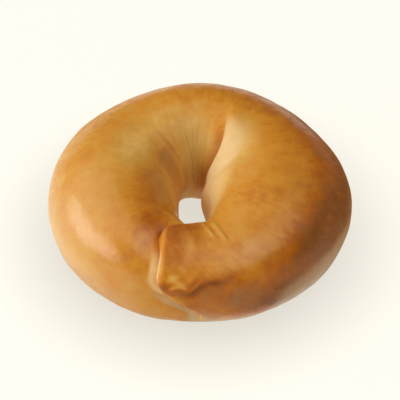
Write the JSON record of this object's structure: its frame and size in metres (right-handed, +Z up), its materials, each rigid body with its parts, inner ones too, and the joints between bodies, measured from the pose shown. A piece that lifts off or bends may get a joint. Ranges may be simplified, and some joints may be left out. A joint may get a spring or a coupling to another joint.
{
  "type": "bagel",
  "caption": "Plain golden-brown bagel: a soft, glossy ring of baked dough with a small hole, a lapped joint at the front and a flat base.",
  "frame": {"origin": "on the surface that the bagel lies on, under the middle of its box", "axes": "+Z up out of the hole, +X to the right along the longest side, -Y towards the lapped joint"},
  "size_m": [0.0998, 0.095, 0.0364],
  "materials": {
    "crust": "glossy baked crust, golden brown"
  },
  "bodies": {
    "root": {"bagel": "crust"}
  },
  "joints": []
}
